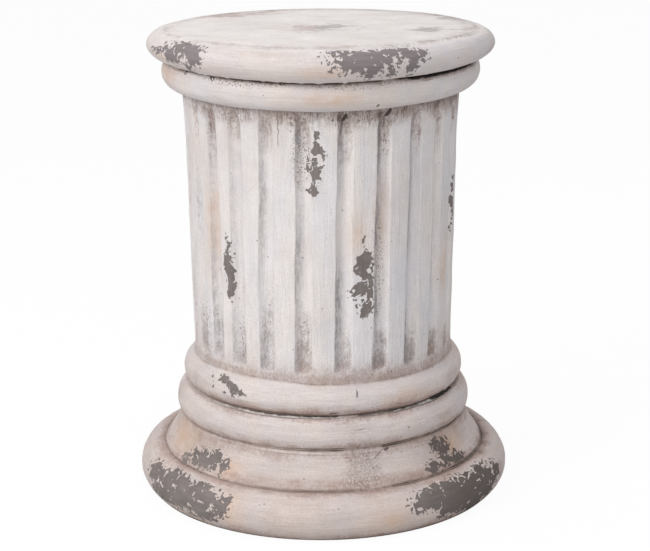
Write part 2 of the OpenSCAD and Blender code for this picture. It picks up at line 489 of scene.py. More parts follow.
# %% Flaked places
FLAKES = {
    # place: ovals by angle in degrees, height, half width and half height in millimetres
    "slab left": [
        (-54, 448, 17, 9), (-45, 454, 11, 6), (-43, 447, 9, 7), (-64, 447, 9, 2.5), (-46, 438, 3, 6),
        (-50, 457, 13, 4), (-59, 452, 7, 3)],
    "slab right": [
        (14, 448.5, 27, 10), (13, 455.5, 20, 4.5), (25, 455.5, 14, 5), (29.5, 447, 5, 11), (15, 437, 4, 6),
        (22, 438, 4, 5), (8.5, 440, 5, 3), (4.6, 449, 3, 4), (34, 452, 3, 5)],
    "shaft top": [
        (-1.9, 377.5, 2, 4.5), (-1.7, 368, 2.6, 3), (-1.4, 363, 4, 4.5), (0.8, 362.5, 2.6, 1.5),
        (-2, 347, 4.2, 8), (-3.2, 342, 3, 4), (-2.3, 330, 3.8, 3.6), (-3.8, 324.5, 5.5, 2.2),
        (1.1, 358, 1.3, 1.3), (1.65, 342.5, 1.5, 1.5), (0.3, 336, 1.8, 2.5), (-5.5, 352, 1.5, 6)],
    "shaft left": [
        (-42.2, 263, 5.2, 7), (-43.6, 254, 3.8, 6), (-43, 246, 5.2, 9), (-41.8, 234.5, 5.2, 8),
        (-42.6, 225, 3, 5), (-42.2, 218.5, 3.8, 6.5), (-43.2, 276, 1, 3.4)],
    "shaft front": [
        (18, 258, 8, 8), (16, 246, 6, 4), (14.5, 243, 8, 2), (20.5, 244, 2, 16), (17.5, 232, 8, 6.5),
        (14, 229, 6, 5), (20.5, 226, 2, 16), (12.5, 216, 5, 2), (16, 214, 7, 4), (18.5, 209, 6, 5),
        (16.4, 197, 1.4, 2.8), (21, 186, 1, 2.4), (16.5, 277, 2.2, 1.1), (18.5, 281, 1, 1.4),
        (14.6, 271, 1.2, 1.2), (20, 271, 1.4, 1.6), (17.5, 271.5, 2.4, 1)],
    "shaft right": [
        (75, 312, 1.5, 6), (74.5, 298, 2, 5), (75.5, 280, 2.4, 7), (74, 264, 1.6, 3), (75, 244, 1.4, 3)],
    "torus": [
        (-44.5, 132, 5.4, 3.4), (-41, 129.5, 4, 2), (-37.5, 127, 6.2, 3.4), (-34, 124, 4.6, 1.7),
        (-51, 131, 1.1, 1), (-50, 128, 1.6, 0.9), (-49.5, 123.5, 1.1, 1.8), (-43, 121.5, 1.8, 1),
        (-38, 120, 2.2, 1)],
    "collar left": [
        (-48, 52, 15, 8), (-43, 58, 7, 7), (-53, 52, 8, 6), (-58, 47, 6, 4), (-38, 53, 3, 5)],
    "collar right": [
        (49, 50, 13, 5), (51.5, 60, 6, 7), (47, 64, 4, 5), (54, 49, 11, 4), (43, 50, 6, 5)],
    "ring left": [
        (-51, 28, 38, 16), (-58, 18, 22, 11), (-41, 33, 20, 11), (-38, 18, 14, 10), (-65, 31, 14, 10),
        (-32, 28, 9, 10)],
    "ring right": [
        (45, 29, 39, 15), (33, 31, 17, 9), (56, 24, 30, 17), (42, 19, 17, 10), (60, 33, 18, 9),
        (52, 12, 26, 10), (67, 28, 9, 6), (40, 38, 10, 3), (50, 38, 14, 4)],
    "behind": [
        (150, 452, 22, 7), (143, 446, 9, 8), (200, 300, 6, 22), (235, 190, 7, 16), (120, 27, 26, 11),
        (128, 18, 14, 8), (215, 30, 18, 9), (170, 128, 9, 4), (104, 350, 5, 18)],
}
print(len(FLAKES), "flaked places are set out with", sum(len(ovals) for ovals in FLAKES.values()), "ovals")

# %% [markdown]
# ## How deep in a flake
# The ovals are turned into one number for each point. It is counted along the section rather than
# straight up, so that a flake keeps its shape where a moulding curls away. On the shaft and the upper
# torus the paint broke crisply, and on the thick edges it crumbled, so the number changes faster in
# the crisp flakes.

# %% Distance inside the flakes
CRISP_FLAKE = 2.6
LOOSE_FLAKE = 1.1
FAR_AWAY = -15.0

run = np.concatenate([[0], np.cumsum(np.linalg.norm(np.diff(section_full, axis=0), axis=1))])


def run_at(z):
    """Length along the section from the middle of the underside up to height z."""
    start = kinds.index("ring") - 1
    end = kinds.index("top")
    return float(np.interp(z, section_full[start:end + 1, 1], run[start:end + 1]))


def run_to(joint):
    """Length along the section to a joint, found as the nearest row."""
    away = np.linalg.norm(section_full - np.array(joint[:]), axis=1)
    return float(run[int(np.argmin(away))])


def inside_ovals(ovals, crisp):
    """How far each point is inside the nearest oval, in millimetres; negative outside."""
    best = np.full(len(row), FAR_AWAY)
    for a, z, half_w, half_h in ovals:
        dx = arc_gap(a)
        dy = run[row] - run_at(z)
        q = np.sqrt((dx / half_w) ** 2 + (dy / half_h) ** 2)
        best = np.maximum(best, (1 - q) * (2 + min(half_w, half_h)) * crisp + 1.6 / crisp)
    return best


flaked = np.full(len(row), FAR_AWAY)
for name, ovals in FLAKES.items():
    crisp = CRISP_FLAKE if "shaft" in name or name == "torus" else LOOSE_FLAKE
    flaked = np.maximum(flaked, inside_ovals(ovals, crisp))
print("flakes cover", round(100 * float((flaked > 0).mean()), 1), "% of the points")

# %% [markdown]
# ## Dirt at the joints, and some painted shade
# Brown wash was brushed on and wiped off, so it stays in corners. It thins out above and below each
# joint, and right in the joint a thin dark line is left. At the neck that line is painted shadow, set where
# the shaft comes out from under the astragal. The dirt at the ring's foot, which faces down, and below the
# slab's top edge, along its crease, is partly painted shade, and a band at the slab's groove on the right
# is painted shadow. The mesh stores a strength for the dirt, and the distance to the nearest joint for the
# line, so that the line can be finer than the mesh.

# %% Dirt and dark lines at the joints
JOINTS = (
    # joint, length of dirt above, its strength, length below, its strength, strength of the dark line
    # the dirt at the foot, which faces down, and below the top edge, along the crease, is partly painted
    # shade; the neck's line is painted shadow
    (FOOT, 14, 0.8, 1, 0, 1.3),
    (RING_TOP, 15, 0.66, 17, 0.85, 0.45),
    (COLLAR_TOP, 12, 0.72, 17, 0.55, 0.45),
    (TORUS_JOINT, 15, 1.02, 13, 0.68, 0.95),
    (SHAFT_FOOT, 24, 0.56, 3, 0.3, 0.3),
    (NECK, 6, 0.42, 22, 0.84, 1.5),
    (ASTRAGAL_TOP, 5, 0.16, 9, 0.62, 1.6),
    (TOP_EDGE, 1, 0, 7, 0.3, 0.1),
)
# the neck's line is dropped 0.5 mm, to where the shaft shows from under the astragal: painted shadow
LINE_LIFT = {NECK.y: -0.5, ASTRAGAL_TOP.y: 0.7, TORUS_JOINT.y: 0.8, COLLAR_TOP.y: 0.5, SHAFT_FOOT.y: 1.2}
NO_JOINT_NEAR = 8.0

along = run[row]
patchy = wavy(places, 45, 9)
dirt = np.zeros(len(row))
over = np.full(len(row), NO_JOINT_NEAR)
under = np.full(len(row), NO_JOINT_NEAR)
dark_line = np.zeros(len(row))
for joint, above, above_dirt, below, below_dirt, darkness in JOINTS:
    gap = along - run_to(joint)
    reach_up = above * (1 + 0.7 * patchy)
    reach_down = below * (1 + 0.7 * patchy)
    dirt = np.maximum(dirt, above_dirt * (1 - ease(gap / reach_up, 0, 1)) * (gap >= 0))
    dirt = np.maximum(dirt, below_dirt * (1 - ease(-gap / reach_down, 0, 1)) * (gap <= 0))
    gap = gap - LINE_LIFT.get(joint.y, 0)
    over = np.where(gap >= 0, np.minimum(over, gap), over)
    under = np.where(gap <= 0, np.minimum(under, -gap), under)
    dark_line = np.where(np.abs(gap) < 14, darkness * np.clip(0.75 + 1.1 * patchy, 0.35, 1.2), dark_line)
dark_line *= 1 + 0.7 * bump(wrap(angle + 60), 0, 34) * (height < COLLAR_TOP_Z + 6)

slab_gap = along - run_to(ASTRAGAL_TOP)
torus_gap = along - run_to(TORUS_JOINT)
collar_gap = along - run_to(COLLAR_TOP)
# a band at the slab's groove on the right, away from the key lamp, is painted shadow
dirt += 0.7 * bump(wrap(angle - 52), 0, 30) * bump(slab_gap + 2.2, 0, 6) * (slab_gap <= 1)
print("joints leave dirt on", round(100 * float((dirt > 0.1).mean())), "% of the points")

# %% [markdown]
# ## Painted groove shadows and lip highlights
# Two stretches of joint at the right, away from the key lamp, get an almost black painted shadow. Along the
# torus joint a thin lip of filler gets a white painted highlight. Both are stored as masks.

# %% Groove shadows and lip highlights
# almost black painted shadow in the slab groove and the torus groove at the right
groove_shadow = (1 - ease(np.abs(wrap(angle - 51)), 15, 24)) * bump(slab_gap + 0.6, 0, 5.5)
groove_shadow = np.maximum(groove_shadow, 0.85 * bump(wrap(angle - 61), 0, 15) * bump(torus_gap, 0, 5))
# painted highlight on the lip below the torus joint, faint below the collar's
torus_lips = np.maximum(bump(wrap(angle + 22), 0, 42), bump(wrap(angle - 42), 0, 30))
lip = (np.abs(torus_gap) < 12) * torus_lips
lip += 0.35 * (np.abs(collar_gap) < 12) * bump(wrap(angle + 5), 0, 30)
print("soot on", int((groove_shadow > 0.1).sum()), "points and rubbed lips on", int((lip > 0.1).sum()))

# %% [markdown]
# ## Dirt and painted shade in the flutes
# Wash gathers at the head and the foot of each flute. Along each left wall, which faces away from the key
# lamp, grey painted shade is laid with some dirt, stronger low down at the right. The flutes in front have
# their own values, because each was wiped differently. The others draw theirs from seeded dice, so they
# come out the same every time.

# %% Dirt and painted shade in the flutes
FRONT_FLUTES = {
    # flute: length and strength of the dirt at its head, then at its foot; strength of the painted shade
    # and dirt on its left wall; strength of the dirt in its corner
    -5: (30, 0.6, 40, 0.6, 0.3, 0),
    -4: (50, 0.85, 90, 0.75, 0.5, 0),
    -3: (84, 1.05, 75, 0.7, 0.6, 0),
    -2: (40, 0.82, 60, 0.6, 0.35, 0),
    -1: (50, 0.66, 100, 0.66, 0.76, 0.1),
    0: (42, 0.9, 80, 0.8, 0.95, 0.3),
    1: (60, 0.75, 60, 0.62, 0.9, 1.3),
    2: (60, 0.6, 60, 1.0, 1.4, 1.4),
    3: (66, 0.55, 48, 0.85, 1.0, 0.3),
    4: (60, 0.46, 40, 1.0, 1.1, 0.2),
    5: (50, 0.6, 34, 0.85, 1.1, 0),
}
PLAIN_FLUTE = ((25, 60), (0.6, 1), (25, 60), (0.6, 1), (0.3, 0.8), (-0.5, 0.8))
flute_dice = random.Random(5)
flute_dirt_and_shade = np.zeros((FLUTES, len(PLAIN_FLUTE)))
for k in range(FLUTES):
    drawn = tuple(flute_dice.uniform(least, most) for least, most in PLAIN_FLUTE)
    signed = k if k <= FLUTES // 2 else k - FLUTES
    flute_dirt_and_shade[k] = FRONT_FLUTES.get(signed, drawn)
own_dirt_and_shade = flute_dirt_and_shade[np.mod(nearest, FLUTES).astype(int)]
head_len, head_dirt, foot_len, foot_dirt, wall_shade_and_dirt, corner_dirt = own_dirt_and_shade.T

in_flute = np.clip(sunk * 1.6, 0, 1) * on_shaft
from_head = FLUTE_HEAD_Z - height
from_foot = height - FLUTE_FOOT_Z
dirt = np.maximum(dirt, in_flute * head_dirt * (1 - ease(from_head / head_len, 0, 1)))
dirt = np.maximum(dirt, in_flute * foot_dirt * (1 - ease(from_foot / foot_len, 0, 1)) * 0.85)
# dirt is stronger towards the right, away from the key lamp, and weaker to the left: partly painted shade
dirt *= 1 + 0.25 * np.sin(radians + 0.1)
corner = on_shaft * bump(from_head - 3, 0, 5) * bump(side * reach + 0.75, 0, 0.4) * (from_head > -5)
dirt += 0.5 * corner * np.clip(corner_dirt, 0, None)
dirt += 0.15 * mend

# Painted shade, mixed with dirt, on each flute's left wall, which faces away from the key lamp; stronger
# low down at the right
on_wall = np.clip(sunk * 8, 0, 1)
lower_wall_shade_and_dirt = 0.4 + 0.7 * ease(np.sin(radians), 0.2, 0.4)
left_wall_shade_and_dirt = on_shaft * wall_shade_and_dirt * on_wall * ease(-side * reach, -0.35, 0.85)
left_wall_shade_and_dirt *= np.clip(0.8 + 1.5 * wavy(places * (1, 1, 0.35), 24, 10), 0.1, 1.4)
left_wall_shade_and_dirt *= 1 + lower_wall_shade_and_dirt * (1 - ease(height, 220, 340))
left_wall_shade_and_dirt *= 1 - 0.6 * (1 - ease(angle, -35, -15)) * (1 - ease(from_head / 60, 0.2, 1))
tail = on_shaft * on_wall * bump(side * reach + 0.62, 0, 0.5) * (1 - ease(from_head / 75, 0, 1))
left_wall_shade_and_dirt += 1.1 * tail * np.clip(corner_dirt, 0, None)
print("flutes are dirty on", round(100 * float((in_flute * dirt > 0.2).mean())), "% of the points")

# %% [markdown]
# ## Stains, painted shade and grit
# Thin washes of colour float over the paint: brown where dirt was rubbed in, warm like weak tea, and
# cool like slate. Some brown and cool spots are partly painted shade: those at the right, away from the
# key lamp, the thin bands along the slab's crease, and the band round the base's foot, which faces down.
# Sand stuck to it in a few places. Each stain is a soft round spot, wider than high on the mouldings and
# higher than wide on the shaft, as the brush went.

# %% Stains, painted shade and grit
def blobs(spots):
    """Soft round spots, 1 in the middle and fading out well past their half sizes."""
    total = np.zeros(len(row))
    for a, z, half_w, half_h, *strength in spots:
        q2 = (arc_gap(a) / half_w) ** 2 + ((run[row] - run_at(z)) / half_h) ** 2
        total = np.maximum(total, (strength[0] if strength else 1) * np.exp(-q2))
    return total


STAINS = {
    # spots by angle in degrees, height, half width and half height in millimetres, and strength if not 1
    "grit": [
        (-8, 365, 6, 22), (-8, 356, 8, 22, 1.6), (-32, 425.5, 40, 3.2, 1.3), (-37, 390, 14, 8),
        (-10, 392, 14, 6), (20, 393, 26, 5), (-8, 185, 7, 30, 0.6), (-22, 215, 6, 36, 0.5),
        (-37, 175, 6, 24), (10, 395, 12, 8), (24, 250, 6, 60), (26, 380, 6, 24), (-60, 175, 10, 30),
        (30, 452, 9, 9), (12, 425, 40, 4), (-30, 425, 40, 4), (8, 106, 30, 3)],
    "warm": [
        (-38, 437, 50, 7, 0.35), (-66, 420, 20, 10, 0.9), (-68, 60, 30, 20), (-52, 287, 11, 40),
        (25, 300, 9, 34), (15, 282, 9, 20), (64, 235, 12, 26), (-29, 24, 13, 16), (20, 17, 22, 9),
        (-60, 441, 30, 5), (2, 439, 26, 6), (-72, 418, 24, 12), (2, 414, 46, 9), (-35, 52, 14, 14),
        (58, 62, 16, 16), (-62, 62, 16, 12), (38, 118, 30, 10), (100, 120, 40, 50), (-120, 250, 12, 50),
        (170, 300, 14, 46), (215, 60, 30, 30), (150, 430, 26, 10)],
    # the cool spots at the right and along the slab's right edge are partly painted shade, the tint of
    # shadow there
    "cool": [
        (48, 456, 60, 9, 1.3), (37, 250, 16, 60), (50, 190, 12, 40), (-36, 330, 12, 40), (2, 190, 8, 30),
        (70, 100, 20, 20), (130, 260, 16, 60), (-150, 200, 16, 60), (60, 452, 30, 8)],
    # the spots at the right of the mouldings, the bands at 454 to 459 mm on the slab's crease and the band
    # at 9 mm are partly painted shade
    "brown": [
        (51, 61, 26, 16, 2.7), (-37, 386, 10, 26, 0.8), (-50, 384, 9, 26, 0.7), (-22, 392, 16, 12, 0.8),
        (60, 64, 26, 15), (74, 98, 14, 14, 0.4), (66, 122, 22, 7), (56, 92, 30, 5), (-76, 62, 16, 14),
        (-82, 96, 12, 12), (-66, 34, 26, 6), (72, 24, 14, 16), (-14, 49, 70, 5), (30, 49, 40, 6),
        (-20, 112, 50, 5, 1.5), (56, 396, 50, 9), (12, 142, 60, 5), (-50, 142, 30, 4), (36, 392, 16, 8),
        (120, 60, 40, 14), (190, 110, 60, 8), (230, 60, 40, 12), (150, 396, 50, 8), (-110, 396, 50, 8),
        (64, 160, 20, 16), (-58, 62, 44, 15, 1.8), (-62, 122, 30, 10, 1.0), (62, 70, 20, 14, 1.5),
        (45, 52, 20, 10, 1.2), (-8, 28, 90, 12, 0.3), (-4, 458.6, 80, 3.6, 0.5),
        (170, 458.6, 200, 3.6, 0.4), (-58, 79, 44, 5, 1.0), (-14, 454.5, 70, 4.5, 0.5),
        (0, 9, 900, 6, 0.45), (0, 37, 900, 4, 0.4), (0, 98, 900, 3, 0.35)],
}
stains = {name: blobs(spots) for name, spots in STAINS.items()}
for name, spread_over in stains.items():
    print(name, "stains reach", round(100 * float((spread_over > 0.2).mean())), "% of the points")

# %% [markdown]
# ## Smudges on the top
# The top was handled and set down on, which left grey smudges. They are round patches of the flat top,
# placed by their distances to the right of the axis and behind it.

# %% Smudges
SMUDGES = [
    # right of the axis, behind it and half width, in millimetres
    (0, -12, 34), (106, -32, 22), (146, 62, 24), (-59, 118, 26), (-96, 98, 36), (60, -128, 12),
    (130, 92, 18),
]
top_xy = points[:, :2] / MM
smudge = np.zeros(len(row))
for right_of, behind, half in SMUDGES:
    gap2 = ((top_xy[:, 0] - right_of) ** 2 + (top_xy[:, 1] - behind) ** 2) / half ** 2
    smudge = np.maximum(smudge, np.exp(-gap2) * (height > COLUMN_H - 6))
print("smudges on", int((smudge > 0.3).sum()), "points")

# %% [markdown]
# ## Handing the masks to the material
# The masks travel on the mesh as attributes, one number for each point. A painted image could hold them
# too, but attributes need no unwrapping and follow the column wherever it goes.

# %% Store the masks on the mesh
masks = {
    "groove_shadow": groove_shadow,
    "lip": lip,
    "flaked": flaked,
    "dirt": np.clip(dirt, 0, 2),
    "groove": groove,
    "mend": mend,
    # painted shade and dirt on the flutes' left walls
    "left_wall_shade_and_dirt": left_wall_shade_and_dirt,
    "over": over,
    "under": under,
    "line": dark_line,
    **stains,
    "smudge": smudge,
    "upright": on_shaft.astype(float),
    "flute": in_flute,
    "rightness": 0.5 + 0.5 * np.sin(radians),
}
for name, values in masks.items():
    mesh.attributes.new(name, "FLOAT", "POINT").data.foreach_set("value", values.astype(np.float32))
print("masks stored:", ", ".join(masks))

# %% [markdown]
# ## Node helpers
# A material is a graph of nodes, and in a script every node is a line. Small helpers keep the graph
# readable. The first adds a node and sets its inputs, and the others do sums with it.

# %% Helpers for nodes and sums
def node(tree, kind, inputs=None, **settings):
    """Adds a node, sets its properties, and links or sets its inputs."""
    made = tree.nodes.new(kind)
    for key, value in settings.items():
        setattr(made, key, value)
    for key, value in (inputs or {}).items():
        if isinstance(value, bpy.types.NodeSocket):
            tree.links.new(value, made.inputs[key])
        else:
            made.inputs[key].default_value = value
    return made


def math_node(tree, operation, a, b=0.0, third=0.0, clamp=False):
    """One arithmetic step."""
    inputs = {0: a, 1: b, 2: third}
    return node(tree, "ShaderNodeMath", inputs, operation=operation, use_clamp=clamp).outputs[0]


def times(tree, a, b, clamp=False):
    """The product of two values."""
    return math_node(tree, "MULTIPLY", a, b, clamp=clamp)


def plus(tree, a, b):
    """The sum of two values."""
    return math_node(tree, "ADD", a, b)


def minus(tree, a, b, clamp=False):
    """The first value less the second."""
    return math_node(tree, "SUBTRACT", a, b, clamp=clamp)


# %% [markdown]
# ## Colour and noise helpers
# Nearly every layer is some noise, stretched to the range that is wanted and used to mix two colours.
# These helpers each wrap one such node.

# %% Helpers for ranges, colours and noise
def remap(tree, value, low, high, to_low=0.0, to_high=1.0, smooth=True):
    """Stretches a value from one range to another, held at the ends."""
    kind = "SMOOTHSTEP" if smooth else "LINEAR"
    inputs = {"Value": value, "From Min": low, "From Max": high, "To Min": to_low, "To Max": to_high}
    return node(tree, "ShaderNodeMapRange", inputs, interpolation_type=kind).outputs[0]


def mix(tree, factor, a, b, blend="MIX"):
    """Mixes two colours."""
    inputs = {0: factor, 6: a, 7: b}
    return node(tree, "ShaderNodeMix", inputs, data_type="RGBA", blend_type=blend).outputs[2]


def scaled(tree, vector, scale):
    """Stretches coordinates by a different amount on each axis."""
    return node(tree, "ShaderNodeMapping", {"Vector": vector, "Scale": scale}).outputs[0]


def grain(tree, vector, scale, detail=3.0, rough=0.55, warp=0.0):
    """Noise from 0 to 1."""
    inputs = {"Vector": vector, "Scale": scale, "Detail": detail, "Roughness": rough, "Distortion": warp}
    return node(tree, "ShaderNodeTexNoise", inputs).outputs["Fac"]


def signed_noise(tree, vector, scale, detail=3.0, rough=0.55, warp=0.0):
    """Noise from about -0.5 to 0.5, which lightens as much as it darkens."""
    return minus(tree, grain(tree, vector, scale, detail, rough, warp), 0.5)


# %% [markdown]
# ## Effect groups
# Each kind of wear is made once, as a node group with named inputs, and then placed in the paint as
# often as it is needed. Every group starts empty, with one node for its inputs and one for its outputs.

# %% Start a group
FLOAT = "NodeSocketFloat"
VECTOR = "NodeSocketVector"


def new_group(name, inputs, outputs):
    """An empty node group with named inputs and outputs; returns it with its two end nodes."""
    made = bpy.data.node_groups.new(name, "ShaderNodeTree")
    for label, kind, value in inputs:
        socket = made.interface.new_socket(label, in_out="INPUT", socket_type=kind)
        if value is not None:
            socket.default_value = value
    for label, kind in outputs:
        made.interface.new_socket(label, in_out="OUTPUT", socket_type=kind)
    return made, made.nodes.new("NodeGroupInput"), made.nodes.new("NodeGroupOutput")


# %% [markdown]
# ## Effect: brush streaks
# The wash was dragged on with a stiff brush: round the mouldings, and up and down the shaft. Noise
# stretched a long way along one direction gives such streaks. Both directions are made, and a mask
# picks the one that follows the stroke.

# %% Brush streaks group
STROKES = {
    # name: length and width of a stroke in millimetres
    "Hair": (22, 0.9),
    "Fine": (34, 2.2),
    "Broad": (60, 6.0),
}

streak_inputs = [("Vector", VECTOR, None), ("Upright", FLOAT, 0.0)]
streaks, src, out = new_group("brush streaks", streak_inputs, [(label, FLOAT) for label in STROKES])
spot = src.outputs["Vector"]
for label, (length, width) in STROKES.items():
    long, thin = 1000 / length, 1000 / width
    round_way = signed_noise(streaks, scaled(streaks, spot, (long, long, thin)), 1.0, 2.5, 0.6)
    up_way = signed_noise(streaks, scaled(streaks, spot, (thin, thin, long)), 1.0, 2.5, 0.6)
    picked = node(streaks, "ShaderNodeMix", {0: src.outputs["Upright"], 2: round_way, 3: up_way}).outputs[0]
    streaks.links.new(picked, out.inputs[label])
print("built", streaks.name, "with", len(streaks.nodes), "nodes")

# %% [markdown]
# ## Effect: flaked paint
# Paint breaks along a ragged line, leaves islands, and drops small chips nearby. The stored distance
# to the flake's edge is shaken by coarse and medium noise, and then cut hard. Two more noises add the
# chips outside the edge and the islands within it.

# %% Flaked paint group
COARSE_SHAKE = 22.0
MEDIUM_SHAKE = 19.0

flake_inputs = [("Vector", VECTOR, None), ("Inside", FLOAT, FAR_AWAY), ("Solid", FLOAT, 0.0)]
flaking, src, out = new_group("flaked paint", flake_inputs, [("Bare", FLOAT), ("Edge", FLOAT)])
spot = src.outputs["Vector"]
depth = src.outputs["Inside"]
coarse = times(flaking, signed_noise(flaking, spot, 85, 1, 0.5, 0.3), COARSE_SHAKE)
medium = times(flaking, signed_noise(flaking, spot, 220, 1.6, 0.5, 0.4), MEDIUM_SHAKE)
shaken = plus(flaking, plus(flaking, depth, coarse), medium)

near_edge = remap(flaking, depth, -10, -1)
chip_line = remap(flaking, depth, -12, 0, 0.73, 0.585)
chip_noise = grain(flaking, spot, 290, 0.6, 0.5, 0.3)
chips = times(flaking, math_node(flaking, "GREATER_THAN", chip_noise, chip_line), near_edge)

island_noise = grain(flaking, spot, 150, 1.2, 0.5, 0.8)
island_line = remap(flaking, depth, 0, 12, 0.605, 0.675)
island_line = math_node(flaking, "MULTIPLY_ADD", src.outputs["Solid"], 0.04, third=island_line)
islands = math_node(flaking, "GREATER_THAN", island_noise, island_line)

broken_off = remap(flaking, shaken, -0.15, 0.15)
bare = math_node(flaking, "MAXIMUM", broken_off, math_node(flaking, "GREATER_THAN", chips, 0.3))
bare = times(flaking, bare, minus(flaking, 1.0, islands))
rim = minus(flaking, remap(flaking, shaken, -2.2, -0.3), remap(flaking, shaken, -0.3, 0.3), clamp=True)
flaking.links.new(bare, out.inputs["Bare"])
flaking.links.new(rim, out.inputs["Edge"])
print("built", flaking.name, "with", len(flaking.nodes), "nodes")

# %% [markdown]
# ## Effect: brown wash
# The wash is thin paint wiped off again. Where the mask is strong it covers, and where the mask is
# weak only a few streaks and grains stay. So streaks, patches and grains are added to the mask, and
# the sum is cut softly: once for where the wash covers, and once for where it is darkest.

# %% Brown wash group
wash_inputs = [("Vector", VECTOR, None), ("Amount", FLOAT, 0.0), ("Streak", FLOAT, 0.0)]
washing, src, out = new_group("brown wash", wash_inputs, [("Cover", FLOAT), ("Dark", FLOAT)])
spot = src.outputs["Vector"]
amount = src.outputs["Amount"]
grains = times(washing, signed_noise(washing, scaled(washing, spot, (1, 1, 0.65)), 420, 4, 0.85), 2.2)
patches = times(washing, signed_noise(washing, spot, 70, 3, 0.65), 1.5)
brushed = times(washing, src.outputs["Streak"], 1.3)
uneven = plus(washing, plus(washing, grains, patches), brushed)
room = remap(washing, amount, 0.0, 0.3)
strength = plus(washing, amount, times(washing, uneven, room))
washing.links.new(remap(washing, strength, 0.05, 0.95, smooth=False), out.inputs["Cover"])
washing.links.new(remap(washing, strength, 0.95, 1.45), out.inputs["Dark"])
print("built", washing.name, "with", len(washing.nodes), "nodes")

# %% [markdown]
# ## Effect: specks
# Grit in the paint shows as dark dots well apart from each other. A cell texture gives each cell one
# point, and only some of the cells keep theirs.

# %% Specks group
CELLS_TO_A_METRE = 215.0

speck_inputs = [("Vector", VECTOR, None), ("Share", FLOAT, 0.3)]
specking, src, out = new_group("specks", speck_inputs, [("Dots", FLOAT)])
cells = node(specking, "ShaderNodeTexVoronoi", {"Vector": src.outputs["Vector"], "Scale": CELLS_TO_A_METRE})
chance = node(specking, "ShaderNodeSeparateColor", {0: cells.outputs["Color"]}).outputs
dot_size = remap(specking, chance[1], 0, 1, 0.05, 0.17, smooth=False)
small = math_node(specking, "LESS_THAN", cells.outputs["Distance"], dot_size)
kept = math_node(specking, "LESS_THAN", chance[0], src.outputs["Share"])
specking.links.new(times(specking, small, kept), out.inputs["Dots"])
print("built", specking.name, "with", len(specking.nodes), "nodes")

# %% [markdown]
# ## Effect: one scratch
# A scratch is a short straight mark. It is set out by its angle round the column, its height, its
# half length and its tilt, so the same group serves for every scratch. A little noise bends it.

# %% Scratch group
scratch_inputs = [
    # angles in radians and sizes in metres
    ("Vector", VECTOR, None),
    ("Angle", FLOAT, 0.0),
    ("Height", FLOAT, 0.1),
    ("Half length", FLOAT, 0.004),
    ("Tilt", FLOAT, 0.0),
    ("Width", FLOAT, 0.0006),
]
scratching, src, out = new_group("scratch", scratch_inputs, [("Mark", FLOAT)])


def vector_node(operation, inputs):
    """One step with vectors in the scratch group."""
    return node(scratching, "ShaderNodeVectorMath", inputs, operation=operation).outputs[0]


def squared(value):
    """A value of the scratch group times itself."""
    return math_node(scratching, "POWER", value, 2.0)


spot = src.outputs["Vector"]
shaky = node(scratching, "ShaderNodeTexNoise", {"Vector": spot, "Scale": 160.0, "Detail": 1.0})
bend = vector_node("SUBTRACT", {0: shaky.outputs["Color"], 1: (0.5, 0.5, 0.5)})
bend = vector_node("SCALE", {0: bend, "Scale": 0.003})
moved = vector_node("ADD", {0: spot, 1: bend})
to_right, to_back, above_floor = node(scratching, "ShaderNodeSeparateXYZ", {0: moved}).outputs
to_front = times(scratching, to_back, -1.0)
turned_by = minus(scratching, math_node(scratching, "ARCTAN2", to_right, to_front), src.outputs["Angle"])
from_axis = math_node(scratching, "SQRT", plus(scratching, squared(to_right), squared(to_back)))
sideways = times(scratching, turned_by, from_axis)
upwards = minus(scratching, above_floor, src.outputs["Height"])
cos_t = math_node(scratching, "COSINE", src.outputs["Tilt"])
sin_t = math_node(scratching, "SINE", src.outputs["Tilt"])
off_line = minus(scratching, times(scratching, sideways, cos_t), times(scratching, upwards, sin_t))
on_line = plus(scratching, times(scratching, sideways, sin_t), times(scratching, upwards, cos_t))
wide_part = squared(math_node(scratching, "DIVIDE", off_line, src.outputs["Width"]))
long_part = squared(math_node(scratching, "DIVIDE", on_line, src.outputs["Half length"]))
oval = plus(scratching, wide_part, long_part)
scratching.links.new(remap(scratching, oval, 1.25, 0.75), out.inputs["Mark"])
print("built", scratching.name, "with", len(scratching.nodes), "nodes")

# %% [markdown]
# ## The painted skin
# The layers go on roughly as the maker put them on: off-white paint, streaks, stains, brown wash in the
# corners, grit and marks, and then the flakes that show the grey undercoat. One material could be
# painted by hand instead, but layers mixed one over another can each be changed on their own. It starts
# from the masks on the mesh and the object's own coordinates.

# %% Start the paint material
paint = bpy.data.materials.new("distressed_paint")
paint.use_nodes = True
tree = paint.node_tree
tree.nodes.clear()
place = node(tree, "ShaderNodeTexCoord").outputs["Object"]
mask = {name: node(tree, "ShaderNodeAttribute", attribute_name=name).outputs["Fac"] for name in masks}
height_z = node(tree, "ShaderNodeSeparateXYZ", {0: place}).outputs[2]


def group(shared, inputs):
    """Adds a shared group to the paint, links or sets its inputs by name, and returns its outputs."""
    return node(tree, "ShaderNodeGroup", inputs, node_tree=shared).outputs


def by_height(start, end, at_start=0.0, at_end=1.0):
    """A value that changes smoothly between two heights, in millimetres."""
    return remap(tree, height_z, start * MM, end * MM, at_start, at_end)


def scale_by(colour, value, amount):
    """Makes a colour lighter or darker by a signed noise value."""
    factor = math_node(tree, "MULTIPLY_ADD", value, amount, third=1.0)
    grey = node(tree, "ShaderNodeCombineColor", {0: factor, 1: factor, 2: factor}).outputs[0]
    return mix(tree, 1.0, colour, grey, "MULTIPLY")


strokes = group(streaks, {"Vector": place, "Upright": mask["upright"]})
cloud = grain(tree, place, 16, 4, 0.6)
mottle = grain(tree, place, 60, 4, 0.65)
sand = signed_noise(tree, place, 900, 3, 0.8)
print(len(mask), "masks are linked to", paint.name)

# %% [markdown]
# ## The off-white coat
# The paint is warm white on the shaft and the top, and creamier on the mouldings and the base, which
# are handled and dusty. Patches of faintly warmer and cooler white lie over it, then three widths of
# brush streak and a fine sand.

